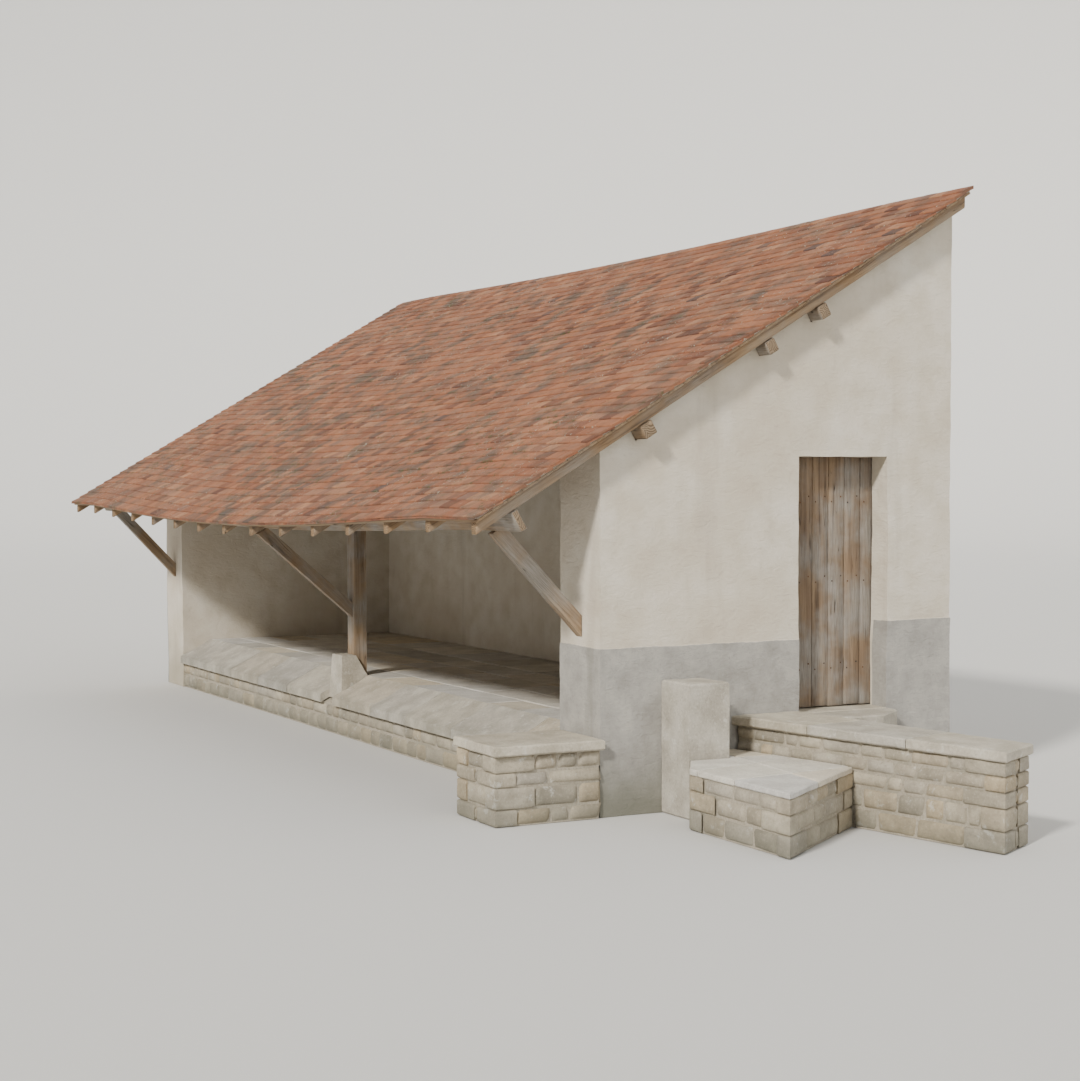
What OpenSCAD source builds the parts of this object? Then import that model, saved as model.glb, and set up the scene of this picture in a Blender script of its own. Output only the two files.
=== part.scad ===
// Wash house: a lean-to roof over an open front, two rendered masonry gables and a
// high back wall, one timber post on a wedge-shaped stone, inclined washing stones,
// a plank door in the near gable and the low walls that step down from it.
// Frame: X along the front, Y from the open front to the back wall, Z up.
// The origin is under the middle of the wall rectangle, on the lowest ground.

/* [Plan] */
// Length over the two gables
length = 10500; // [9700:100:11000]
// Depth from the front end of the gables to the back of the back wall
depth = 3080; // [2980:20:3180]
// Thickness of the two gable walls
wall_t = 600; // [540:20:660]
// Thickness of the back wall
back_t = 520; // [460:20:580]

/* [Levels above the low ground] */
// Top of the corner slab
slab_z = 560; // [500:10:620]
// Top of the paved floor
floor_z = 540; // [480:10:600]
// Top of the door sill
sill_z = 645; // [620:5:680]
// Underside of the wall over the door
head_z = 2540; // [2450:10:2600]

/* [Roof] */
// Rise of the roof for each unit of run
slope = 0.59; // [0.53:0.01:0.65]
// Height of the rafters' underside over the front end of the gables
rafter_z0 = 2600; // [2550:5:2650]
// Reach of the rafters in front of the gables
eave_reach = 1020; // [900:10:1150]
// Reach of the rafters past the back of the back wall
top_over = 5; // [0:5:60]
// Width of a rafter
rafter_w = 75; // [60:5:100]
// Depth of a rafter, square to the slope
rafter_d = 80; // [70:5:100]
// Sag of the roof at mid length, at the eave
sag_eave = 125; // [0:5:160]
// Sag of the roof at mid length, at the top
sag_top = 45; // [0:5:70]
// Overhang of the covering past the gable faces
verge = 200; // [150:10:260]

/* [Door] */
// First jamb, from the front end of the gable
door_y0 = 1680; // [1600:10:1750]
// Width of the doorway outside
door_w = 800; // [760:10:860]
// Depth of the outer reveal, in front of the leaf
reveal = 200; // [160:10:240]
// Thickness of the boards of the leaf
board_t = 27; // [22:1:32]

/* [Front] */
// Upper edge of the washing stones, from the front end of the gables
wash_y1 = 330; // [300:5:360]
// Lower edge of the washing stones
wash_y0 = -30; // [-60:5:0]
// Fall of the washing stones from upper to lower edge
wash_fall = 180; // [120:5:200]
// Thickness of the washing stones
wash_t = 85; // [70:5:100]
// Middle post, across the front
post_w = 165; // [140:5:190]
// Middle post, front to back
post_d = 125; // [110:5:150]

/* [Hidden] */

th = atan(slope);                 // roof angle
ct = cos(th);
rafter_v = rafter_d / ct;         // plumb depth of a rafter
board_v = 20 / ct;                // plumb thickness of the boarding
tile_v = 34 / ct;                 // plumb thickness of the tile bed
mid_x = -length / 2;              // middle post
top_reach = depth + top_over;
spacing = (length + 2 * 60 + rafter_w) / 14;
first_x = 60 + rafter_w / 2;      // centre of the near verge rafter
rx = [for (i = [0:14]) first_x - i * spacing];
door_y1 = door_y0 + door_w;
emb_y0 = door_y0 - 50;            // embrasure behind the leaf
emb_y1 = door_y1 + 60;
pin_x = -reveal - 68;             // hinge axis
pin_y = door_y1 + 35;
hinge_z = [940, 2200];            // underside of the two hinge eyes
plate_y = 285;                    // roof timbers: distance of each from the gable front
eave_y = -740;
low_y = 1310;
up_y = 1765;
tp_y0 = depth - 310;              // inner side of the top plate
tp_y1 = tp_y0 + 120;

// Walls are drawn from the near gable's outer face and the front end of the gables.
module place() translate([length / 2, -depth / 2, 0]) children();

// Underside of the rafters before sagging, and the sag at a point in plan
function rz(y) = rafter_z0 + slope * y;
function bow(x) = let (t = (x + length / 2) / (length / 2 - wall_t))
  abs(t) >= 1 ? 0 : pow(1 - t * t, 1.25);
function sag(x, y) = bow(x) * (sag_eave + (sag_top - sag_eave)
  * (y + eave_reach) / (top_reach + eave_reach));

// Stations along the length at which the bowed timbers change direction
xs = concat([for (i = [14:-1:1]) rx[i]], [rx[0]]);

// A profile in the Y-Z plane, pushed along X from x0 to x1
module along_x(x0, x1, pts) translate([x0, 0, 0])
  rotate([90, 0, 90]) linear_extrude(height = x1 - x0) polygon(pts);

// A plan outline raised from z0 to z1
module raise(z0, z1, pts) translate([0, 0, z0])
  linear_extrude(height = z1 - z0) polygon(pts);

// Sloping top of the gables, just under the boarding
module gable_profile(x0, x1, y0, y1, z0 = 0)
  along_x(x0, x1, [[y0, z0], [y1, z0],
    [y1, rz(y1) + rafter_v - 8], [y0, rz(y0) + rafter_v - 8]]);

// Open-topped seat for a purlin that passes through a gable
module seat(y0, w, d, x0, x1) translate([x0, y0, rz(y0)]) rotate([th, 0, 0])
  translate([0, -w / 2 - 1, -d - 3]) cube([x1 - x0, w + 2, d + 300]);

// A timber square to the slope under the rafters, bowed with the roof,
// from x0 to x1, its lower corners bevelled by b at both ends
module bowed_timber(y0, w, d, x0, x1, b = 0) {
  st = [for (x = xs) if (x > x0 + b + 20 && x < x1 - b - 20) x];
  top = concat([[x0, -2 - sag(x0, y0) * ct]], [for (x = st) [x, -2 - sag(x, y0) * ct]],
    [[x1, -2 - sag(x1, y0) * ct]]);
  bot = concat(b > 0 ? [[x1, -2 - d + b]] : [],
    [[x1 - b, -2 - d - sag(x1, y0) * ct]],
    [for (i = [len(st) - 1:-1:0]) [st[i], -2 - d - sag(st[i], y0) * ct]],
    [[x0 + b, -2 - d - sag(x0, y0) * ct]],
    b > 0 ? [[x0, -2 - d + b]] : []);
  place() translate([0, y0, rz(y0)]) rotate([th, 0, 0]) rotate([90, 0, 0])
    linear_extrude(height = w, center = true) polygon(concat(top, bot));
}

// A rafter centred on x, plumb cut at both ends and following the sag there
module rafter(x) along_x(x - rafter_w / 2, x + rafter_w / 2,
  [[-eave_reach, rz(-eave_reach) - sag(x, -eave_reach)],
   [top_reach, rz(top_reach) - sag(x, top_reach)],
   [top_reach, rz(top_reach) - sag(x, top_reach) + rafter_v],
   [-eave_reach, rz(-eave_reach) - sag(x, -eave_reach) + rafter_v]]);

// A bowed sheet over the whole roof, from y0 to y1, lying v0 to v1 over the
// rafters' underside, measured plumb
module bowed_sheet(y0, y1, v0, v1, over) {
  st = concat([-length - over], [for (i = [13:-1:1]) rx[i]], [over]);
  n = len(st);
  pts = [for (x = st) for (q = [[y0, v0], [y1, v0], [y1, v1], [y0, v1]])
    [x, q[0], rz(q[0]) - sag(x, q[0]) + q[1]]];
  // the upper and lower faces share one diagonal, so that stacked sheets stay clear
  sides = [for (i = [0:n - 2]) for (k = [0:3]) for (h = [0, 1])
    let (a = 4 * i + k, b = 4 * i + (k + 1) % 4)
    k < 2 ? (h == 0 ? [a, b + 4, b] : [a, a + 4, b + 4])
          : (h == 0 ? [a, a + 4, b] : [b, a + 4, b + 4])];
  ends = [[0, 1, 2], [0, 2, 3],
    [4 * n - 4, 4 * n - 2, 4 * n - 3], [4 * n - 4, 4 * n - 1, 4 * n - 2]];
  place() polyhedron(points = pts, faces = concat(sides, ends));
}

// A brace in the plane of the gable ends, from the face at y = yf, centred on
// height zf there, up to the underside of the eave beam
module brace(x, yf, zf) {
  drop = sag(x, eave_y) + 165 / ct;
  tip_y = eave_y + 160 * sin(th);
  tip_z = rz(eave_y) - 160 * ct - sag(x, eave_y);
  a = atan2(tip_z - zf, yf - tip_y);
  h = 52;
  place() intersection() {
    along_x(x - 40, x + 40, [
      [yf + 200 * cos(a) + h * sin(a), zf - 200 * sin(a) + h * cos(a)],
      [yf + 200 * cos(a) - h * sin(a), zf - 200 * sin(a) - h * cos(a)],
      [tip_y - 200 * cos(a) - h * sin(a), tip_z + 200 * sin(a) - h * cos(a)],
      [tip_y - 200 * cos(a) + h * sin(a), tip_z + 200 * sin(a) + h * cos(a)]]);
    along_x(x - 60, x + 60, [[yf - 1, 0], [-2000, 0], [-2000, rz(-2000) - drop],
      [yf - 1, rz(yf - 1) - drop]]);
  }
}

module near_gable_front() color("linen") place() difference() {
  intersection() {
    gable_profile(-wall_t, 0, 0, door_y0);
    raise(0, 5000, [[-wall_t, 0], [0, 0], [0, door_y0], [-reveal, door_y0],
      [-reveal, emb_y0], [-wall_t, emb_y0]]);
  }
  seat(plate_y, 110, 110, -wall_t - 5, 5);
  seat(low_y, 95, 105, -wall_t - 5, 5);
  translate([-wall_t - 5, emb_y0 - 151, head_z + 20]) cube([wall_t + 5 - reveal, 300, 141]);
}

module near_gable_rear() color("linen") place() difference() {
  intersection() {
    gable_profile(-wall_t, 0, door_y1, depth);
    raise(0, 5000, [[-wall_t, emb_y1], [-reveal, emb_y1], [-reveal, door_y1],
      [0, door_y1], [0, depth], [-wall_t, depth]]);
  }
  translate([-wall_t - 5, emb_y1 - 100, head_z + 20]) cube([wall_t + 5 - reveal, 251, 141]);
  for (z = hinge_z) translate([pin_x - 9, emb_y1 - 5, z - 14]) cube([18, 100, 14]);
}

module near_gable_over_door() color("linen") place() difference() {
  gable_profile(-wall_t, 0, emb_y0, emb_y1, head_z);
  translate([-wall_t - 5, emb_y0 - 5, head_z - 5])
    cube([wall_t + 5 - reveal, emb_y1 - emb_y0 + 10, 166]);
  translate([-reveal, emb_y0 - 5, 0]) cube([reveal + 5, 55, 5000]);
  translate([-reveal, door_y1, 0]) cube([reveal + 5, 70, 5000]);
  seat(up_y, 95, 105, -wall_t - 5, 5);
}

module near_gable_under_door() color("linen") place()
  raise(0, sill_z - 80, [[-wall_t, emb_y0], [-reveal, emb_y0], [-reveal, door_y0],
    [0, door_y0], [0, door_y1], [-reveal, door_y1], [-reveal, emb_y1], [-wall_t, emb_y1]]);

module door_sill() color("lightgray") place()
  raise(sill_z - 80, sill_z, [[-wall_t - 20, emb_y0 + 1], [-reveal, emb_y0 + 1],
    [-reveal, door_y0 + 1], [-2, door_y0 + 1], [-2, door_y1 - 1],
    [-reveal, door_y1 - 1], [-reveal, emb_y1 - 1], [-wall_t - 20, emb_y1 - 1]]);

module door_lintel() color("saddlebrown") place()
  translate([-wall_t + 2, emb_y0 - 150, head_z + 20])
    cube([wall_t - reveal - 3, emb_y1 - emb_y0 + 300, 140]);

module far_gable_wall() color("linen") place() difference() {
  gable_profile(-length, -length + wall_t, 0, depth);
  seat(plate_y, 110, 110, -length - 5, -length + wall_t + 5);
  seat(low_y, 95, 105, -length - 5, -length + wall_t + 5);
  seat(up_y, 95, 105, -length - 5, -length + wall_t + 5);
}

// The back wall's top bows with the roof; the plate lies in the step on its inner side
module back_wall() color("linen") place() {
  st = concat([-length + wall_t], [for (i = [12:-1:2]) rx[i]], [-wall_t]);
  for (p = [[depth - back_t, tp_y1 + 1, rz(tp_y0) - 136], [tp_y1 + 1, depth, rz(tp_y1) - 22]])
    translate([0, p[1], 0]) rotate([90, 0, 0]) linear_extrude(height = p[1] - p[0])
      polygon(concat([[-length + wall_t, 0], [-wall_t, 0]],
        [for (i = [len(st) - 1:-1:0]) [st[i], p[2] - sag(st[i], tp_y1)]]));
}

module floor_base() color("tan") place()
  translate([-length + wall_t, wash_y1, 0])
    cube([length - 2 * wall_t, depth - back_t - wash_y1, floor_z - 80]);

module floor_paving() color("gainsboro") place()
  translate([-length + wall_t + 1, wash_y1 + 1, floor_z - 80])
    cube([length - 2 * wall_t - 22, depth - back_t - wash_y1 - 2, 80]);

module front_wall() color("tan") place()
  along_x(-length + wall_t, -wall_t, [[0, 0], [wash_y1, 0],
    [wash_y1, floor_z - wash_t - 2],
    [0, floor_z - wash_t - 2 - wash_fall * wash_y1 / (wash_y1 - wash_y0)]]);

module washing_stones(x0, x1) along_x(x0, x1, [
  [wash_y0, floor_z - wash_fall - wash_t], [wash_y1, floor_z - wash_t],
  [wash_y1, floor_z], [wash_y0, floor_z - wash_fall]]);

module washing_stones_near() color("lightgray") place()
  washing_stones(mid_x + 158, -wall_t - 2);

module washing_stones_far() color("lightgray") place()
  washing_stones(-length + wall_t + 2, mid_x - 158);

module corner_wall() color("tan") place()
  translate([-580, -840, 0]) cube([620, 838, slab_z - 71]);

module corner_slab() color("lightgray") place()
  translate([-585, -860, slab_z - 70]) cube([665, 858, 70]);

// A wedge of stone: flat on top in front of the post, falling behind to the floor
module post_base() color("lightgray") place() intersection() {
  along_x(mid_x - 200, mid_x + 200, [[60, 322], [wash_y1 - 2, 455],
    [wash_y1 - 2, floor_z + 2], [222, 728], [150, 730], [82, 730]]);
  translate([mid_x, 500, 0]) rotate([90, 0, 0]) linear_extrude(height = 600)
    polygon([[-152, 300], [152, 300], [152, 400], [126, 740], [-126, 740], [-152, 400]]);
}

// The post's foot is cut to the back of the stone, its head to hold the wall plate
module middle_post() color("peru") place() difference() {
  along_x(mid_x - post_w / 2, mid_x + post_w / 2, [[222, 731], [wash_y1, floor_z + 3],
    [222 + post_d, floor_z + 3], [222 + post_d, 2620], [222, 2560]]);
  translate([mid_x - 200, plate_y, rz(plate_y) - sag(mid_x, plate_y)]) rotate([th, 0, 0])
    translate([0, -56, -114]) cube([400, 300, 400]);
  translate([mid_x - 200, wash_y1 + 0.5, 0]) cube([400, 100, floor_z + 2]);
}

module brace_near() color("peru") brace(-310, 0, 1330);
module brace_middle() color("peru") brace(mid_x, 222, 1150);
module brace_far() color("peru") brace(-length + 310, 0, 1330);

module eave_beam() color("peru") bowed_timber(eave_y, 60, 160, -length - 140, 140);
module wall_plate() color("peru") bowed_timber(plate_y, 110, 110, -length - 140, 140, 40);
module purlin_lower() color("peru") bowed_timber(low_y, 95, 105, -length - 140, 140, 20);
module purlin_upper() color("peru") bowed_timber(up_y, 95, 105, -length - 140, 140, 20);

module top_plate() color("peru") place() {
  st = concat([-length + wall_t + 2], [for (i = [12:-1:2]) rx[i]], [-wall_t - 2]);
  translate([0, tp_y1, 0]) rotate([90, 0, 0]) linear_extrude(height = 120)
    polygon(concat([for (x = st) [x, rz(tp_y0) - 135 - sag(x, tp_y1)]],
      [for (i = [len(st) - 1:-1:0]) [st[i], rz(tp_y0) - 4 - sag(st[i], tp_y0)]]));
}

module verge_rafter_near() color("peru") place() rafter(rx[0]);
module verge_rafter_far() color("peru") place() rafter(rx[14]);
module common_rafters() color("peru") place() for (i = [1:13]) rafter(rx[i]);

module roof_boards() color("burlywood")
  bowed_sheet(-eave_reach - 20, top_reach + 5, rafter_v + 3, rafter_v + 2.2 + board_v, verge - 15);
module roof_tiles() color("firebrick")
  bowed_sheet(-eave_reach - 50, top_reach + 25, rafter_v + 3 + board_v,
    rafter_v + 2 + board_v + tile_v, verge);

// Leaf: boards in front, three ledges behind, hung on two strap hinges
module door_boards() color("sienna") place()
  translate([-reveal - 6 - board_t, door_y0 - 40, sill_z + 8])
    cube([board_t, door_w + 80, head_z + 12 - sill_z - 8]);

module door_ledges() color("sienna") place() for (z = [905, 1565, 2165])
  translate([-reveal - 6.5 - board_t - 25, door_y0 + 10, z]) cube([25, door_w - 20, 110]);

// One strap and its eye: 50 high, lapped on a ledge
module strap(z) {
  translate([pin_x + 3, pin_y - 640, z]) cube([5.9, 630, 50]);
  translate([pin_x, pin_y, z]) difference() {
    cylinder(h = 50, r = 14, $fn = 48);
    translate([0, 0, -1]) cylinder(h = 52, r = 8.5, $fn = 48);
  }
}
module door_hinges() color("dimgray") place() for (z = hinge_z) strap(z);

// Each pintle is a pin on a bar built into the jamb
module door_pintles() color("dimgray") place() for (z = hinge_z) {
  translate([pin_x, pin_y, z - 13.5]) cylinder(h = 78, r = 8, $fn = 48);
  translate([pin_x - 8, pin_y, z - 13.5]) cube([16, emb_y1 + 80 - pin_y, 12.5]);
}

// A plate with a pull outside, over the boards
module door_latch() color("dimgray") place() translate([-reveal - 5.5, door_y0 + 50, 1560]) {
  cube([3.5, 40, 180]);
  for (z = [30, 140]) translate([3, 14, z]) cube([30, 12, 10]);
  translate([28, 14, 30]) cube([10, 12, 120]);
}

module threshold() color("lightgray") place()
  raise(0, 640, [[2, 1672], [345, 1724], [345, 2190], [110, 2490], [2, 2490]]);

module wing_wall() color("tan") place()
  raise(0, 589, [[2, 1115], [2390, 1590], [2180, 1965], [2, 1635]]);

module wing_coping() color("lightgray") place()
  raise(590, 660, [[2, 1090], [2420, 1570], [2190, 1990], [2, 1660]]);

module stone_pillar() color("lightgray") place()
  translate([2, 500, 0]) cube([380, 325, 950]);

module lower_step() color("tan") place()
  raise(0, 420, [[2, 830], [390, 830], [390, 500], [700, 300], [1899, 300],
    [1135, 1335], [2, 1110]]);

near_gable_front();
near_gable_rear();
near_gable_over_door();
near_gable_under_door();
door_sill();
door_lintel();
far_gable_wall();
back_wall();
floor_base();
floor_paving();
front_wall();
washing_stones_near();
washing_stones_far();
corner_wall();
corner_slab();
post_base();
middle_post();
brace_near();
brace_middle();
brace_far();
eave_beam();
wall_plate();
purlin_lower();
purlin_upper();
top_plate();
verge_rafter_near();
verge_rafter_far();
common_rafters();
roof_boards();
roof_tiles();
door_boards();
door_ledges();
door_hinges();
door_pintles();
door_latch();
threshold();
wing_wall();
wing_coping();
stone_pillar();
lower_step();
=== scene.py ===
"""Wash house: the looks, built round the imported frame. Metres, +Z up."""
import bpy, bmesh, math
import numpy as np
from mathutils import Vector, Matrix
from mathutils.geometry import delaunay_2d_cdt


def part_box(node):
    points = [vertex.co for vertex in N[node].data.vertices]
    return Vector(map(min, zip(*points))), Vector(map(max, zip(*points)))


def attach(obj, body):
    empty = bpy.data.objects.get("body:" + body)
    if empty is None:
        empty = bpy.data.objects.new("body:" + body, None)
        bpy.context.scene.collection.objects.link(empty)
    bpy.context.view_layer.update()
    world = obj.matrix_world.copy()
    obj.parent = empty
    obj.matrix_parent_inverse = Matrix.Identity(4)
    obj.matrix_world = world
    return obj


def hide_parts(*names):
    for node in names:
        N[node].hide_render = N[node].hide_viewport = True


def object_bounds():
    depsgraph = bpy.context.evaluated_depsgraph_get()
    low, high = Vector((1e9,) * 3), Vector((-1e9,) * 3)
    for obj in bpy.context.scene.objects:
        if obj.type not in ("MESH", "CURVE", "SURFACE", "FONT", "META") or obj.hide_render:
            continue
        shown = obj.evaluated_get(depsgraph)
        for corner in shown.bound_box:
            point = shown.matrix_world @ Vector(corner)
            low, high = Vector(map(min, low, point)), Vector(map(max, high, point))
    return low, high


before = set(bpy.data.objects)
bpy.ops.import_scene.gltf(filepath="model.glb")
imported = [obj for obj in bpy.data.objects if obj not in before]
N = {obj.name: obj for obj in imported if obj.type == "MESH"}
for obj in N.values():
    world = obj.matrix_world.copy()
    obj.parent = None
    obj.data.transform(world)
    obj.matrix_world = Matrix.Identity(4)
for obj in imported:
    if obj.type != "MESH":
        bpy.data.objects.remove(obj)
CAD_LO, CAD_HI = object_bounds()

# ---- the construction's own rules, in the wall frame (X from the near gable's face, Y from the gable ends)
DX, DY = 5.25, -1.54
SL = .59
TH = math.atan(SL); CT = math.cos(TH); ST = math.sin(TH)
RV, BV, TV = .080 / CT, .020 / CT, .034 / CT
LEN, DEP, WT = 10.5, 3.08, .6
RX = [.0975 - i * .763929 for i in range(15)]


def rz(y):
    return 2.6 + SL * np.asarray(y, float)


def sag(x, y):
    t = (np.asarray(x, float) + LEN / 2) / (LEN / 2 - WT)
    b = np.where(np.abs(t) >= 1, 0, np.power(np.clip(1 - t * t, 0, 1), 1.25))
    return b * (.125 - .08 * (np.asarray(y, float) + 1.02) / 4.105)


# ---- smooth noise on a lattice, the same everywhere in the frame
def vnoise(p, seed=0):
    i = np.floor(p).astype(np.int64)
    f = p - i
    f = f * f * f * (f * (f * 6 - 15) + 10)
    def h(a, b, c):
        n = (a * 374761393 + b * 668265263 + c * 1103515245 + seed * 14466527) & 0xFFFFFFFF
        n = ((n ^ (n >> 13)) * 1274126177) & 0xFFFFFFFF
        return ((n ^ (n >> 16)) & 0xFFFF) / 65535.
    o = 0
    for dx in (0, 1):
        for dy in (0, 1):
            for dz in (0, 1):
                w = (f[:, 0] if dx else 1 - f[:, 0]) * (f[:, 1] if dy else 1 - f[:, 1]) * (f[:, 2] if dz else 1 - f[:, 2])
                o = o + w * h(i[:, 0] + dx, i[:, 1] + dy, i[:, 2] + dz)
    return o * 2 - 1


def vecn(p, size, seed):
    return np.stack([vnoise(p / size + 17.3 * k, seed + k) for k in range(3)], 1)


def rough(v, amps):
    """Moves points by a field that depends only on where they are, so neighbours stay together."""
    o = v.copy()
    for k, (size, amp) in enumerate(amps):
        o += vecn(v, size, 31 + 7 * k) * amp
    return o


def weld(verts, faces):
    key = np.round(verts / 2e-5).astype(np.int64)
    _, first, inv = np.unique(key, axis=0, return_index=True, return_inverse=True)
    inv = inv.ravel()
    out = []
    for f in faces:
        g = [int(inv[i]) for i in f]
        g = [a for k, a in enumerate(g) if a != g[k - 1]]
        if len(g) > 2 and len(set(g)) == len(g):
            out.append(g)
    return verts[first], out


class Acc:
    """Collects solids into one mesh, with a tint for each."""
    def __init__(s):
        s.v, s.f, s.t, s.n = [], [], [], 0

    def add(s, v, f, tint=.5):
        v = np.asarray(v, float)
        s.v.append(v)
        s.f += [[i + s.n for i in q] for q in f]
        s.t.append(np.full(len(v), tint))
        s.n += len(v)


def make(name, acc, mat, rep=(), body="building", amps=(), sharp=38, dado=None, clamp=False, post=None, fix=True):
    v = np.concatenate(acc.v)
    base = v.copy()
    if amps:
        v = rough(v, amps)
        v[base[:, 2] < 1e-4, 2] = 0
    if post:
        v = post(base, v)
    if clamp:
        v[:, 0] = np.clip(v[:, 0], -10.7, .2)
        v[:, 1] = np.clip(v[:, 1], -1.07, 3.11)
        v[:, 2] = np.minimum(v[:, 2], CAD_HI.z - 1e-4)
    v[:, 2] = np.maximum(v[:, 2], 0)
    v[:, 0] = np.clip(v[:, 0], CAD_LO.x - DX + 2e-4, CAD_HI.x - DX - 2e-4)
    v[:, 1] = np.clip(v[:, 1], CAD_LO.y - DY + 2e-4, CAD_HI.y - DY - 2e-4)
    me = bpy.data.meshes.new(name)
    me.from_pydata((v + [DX, DY, 0]).tolist(), [], acc.f)
    a = me.attributes.new("tint", "FLOAT", "POINT")
    a.data.foreach_set("value", np.concatenate(acc.t).astype(np.float32))
    if dado is not None:
        a = me.attributes.new("dado", "FLOAT", "POINT")
        a.data.foreach_set("value", dado(base).astype(np.float32))
    if fix:
        bm = bmesh.new(); bm.from_mesh(me)
        bmesh.ops.remove_doubles(bm, verts=bm.verts, dist=8e-5)
        bmesh.ops.recalc_face_normals(bm, faces=bm.faces)
        bm.to_mesh(me); bm.free()
    me.polygons.foreach_set("use_smooth", [True] * len(me.polygons))
    me.set_sharp_from_angle(angle=math.radians(sharp))
    me.materials.append(mat)
    o = bpy.data.objects.new(name, me)
    bpy.context.scene.collection.objects.link(o)
    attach(o, body)
    if rep:
        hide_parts(*rep)
    return o


def inside(p, loops):
    r = np.zeros(len(p), bool)
    for L in loops:
        a, b = L, np.roll(L, -1, 0)
        for (x0, y0), (x1, y1) in zip(a, b):
            c = (y0 > p[:, 1]) != (y1 > p[:, 1])
            with np.errstate(divide="ignore", invalid="ignore"):
                xi = x0 + (p[:, 1] - y0) * (x1 - x0) / (y1 - y0 if y1 != y0 else 1)
            r ^= c & (p[:, 0] < xi)
    return r


def resample(L, step):
    out = []
    for a, b in zip(L, np.roll(L, -1, 0)):
        n = max(1, int(round(np.linalg.norm(b - a) / step)))
        out += [a + (b - a) * k / n for k in range(n)]
    return np.array(out)


def inset(L, d):
    """Each point moved to the left of the way round, by d."""
    a, b = L - np.roll(L, 1, 0), np.roll(L, -1, 0) - L
    a /= np.linalg.norm(a, axis=1)[:, None]
    b /= np.linalg.norm(b, axis=1)[:, None]
    na, nb = np.stack([-a[:, 1], a[:, 0]], 1), np.stack([-b[:, 1], b[:, 0]], 1)
    m = na + nb
    return L + d * m / np.maximum(.35, 1 + (na * nb).sum(1))[:, None]


def cap(loops, step, rows=()):
    pts = np.concatenate(loops)
    e, k = [], 0
    for L in loops:
        e += [(k + i, k + (i + 1) % len(L)) for i in range(len(L))]
        k += len(L)
    lo, hi = pts.min(0), pts.max(0)
    nx, ny = [max(1, int(round((hi - lo)[i] / step))) for i in (0, 1)]
    gx, gy = np.linspace(lo[0], hi[0], nx + 1)[1:-1], np.linspace(lo[1], hi[1], ny + 1)[1:-1]
    g = np.zeros((0, 2))
    if len(gx) and len(gy):
        if rows:
            gy = np.array([y for y in gy if min(abs(y - r) for r in rows) > .4 * step])
            gy = np.sort(np.concatenate([gy, rows]))
        X, Y = np.meshgrid(gx, gy)
        g = np.stack([X.ravel(), Y.ravel()], 1)
        g = g[inside(g, loops)]
        if len(g):
            seg = np.concatenate([np.stack([L, np.roll(L, -1, 0)], 1) for L in loops])
            keep = np.ones(len(g), bool)
            for s0, s1 in seg:
                near = (g > np.minimum(s0, s1) - step).all(1) & (g < np.maximum(s0, s1) + step).all(1)
                if near.any():
                    q = g[near]; d = s1 - s0
                    t = np.clip(((q - s0) @ d) / (d @ d), 0, 1)
                    keep[np.where(near)[0]] &= np.linalg.norm(q - s0 - t[:, None] * d, axis=1) > .35 * step
            g = g[keep]
    allp = np.concatenate([pts, g])
    r = delaunay_2d_cdt([Vector(p) for p in allp.tolist()], e, [], 1, 1e-7)
    v2 = np.array([tuple(p) for p in r[0]])
    tri = [t for t in r[2] if len(t) == 3]
    c = np.array([v2[list(t)].mean(0) for t in tri])
    ok = inside(c, loops) if len(loops) > 1 else np.ones(len(c), bool)
    return v2, [t for t, k in zip(tri, ok) if k]


def prism(loops, a0, a1, to3, step, ch=.0, nside=None, caps=(True, True), rows=()):
    """A solid between a0 and a1 over a 2D outline (outer loop to the left, holes the other way), gridded for hand-worked relief."""
    L0 = [resample(np.array(L, float), step) for L in loops]
    L1 = [inset(L, ch) for L in L0] if ch else L0
    V, F, n = [], [], 0
    def put(p2, a):
        nonlocal n
        V.append(to3(p2, np.full(len(p2), a))); n += len(p2)
        return n - len(p2)
    for side, a in ((0, a0), (1, a1)):
        if caps[side]:
            v2, t = cap(L1, step, rows)
            k = put(v2, a)
            F.extend([[i + k for i in q] for q in t])
    sg = 1 if a1 > a0 else -1
    ns = nside or max(1, int(round(abs(a1 - a0) / step)))
    levels = [(1, a0)] if ch else []
    levels += [(0, a0 + sg * ch + (a1 - a0 - 2 * sg * ch) * k / ns) for k in range(ns + 1)]
    levels += [(1, a1)] if ch else []
    for i in range(len(loops)):
        ks = [put((L1 if w else L0)[i], a) for w, a in levels]
        m = len(L0[i])
        for a, b in zip(ks, ks[1:]):
            F.extend([[a + j, a + (j + 1) % m, b + (j + 1) % m, b + j] for j in range(m)])
    return weld(np.concatenate(V), F)


def rings(R, close=True):
    """A loft through rings of the same number of points, closed at both ends."""
    m = len(R[0]); n = len(R)
    F = [[i * m + j, i * m + (j + 1) % m, (i + 1) * m + (j + 1) % m, (i + 1) * m + j] for i in range(n - 1) for j in range(m)]
    if close:
        F += [list(range(m - 1, -1, -1)), list(range((n - 1) * m, n * m))]
    return np.concatenate(R), F


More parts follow.
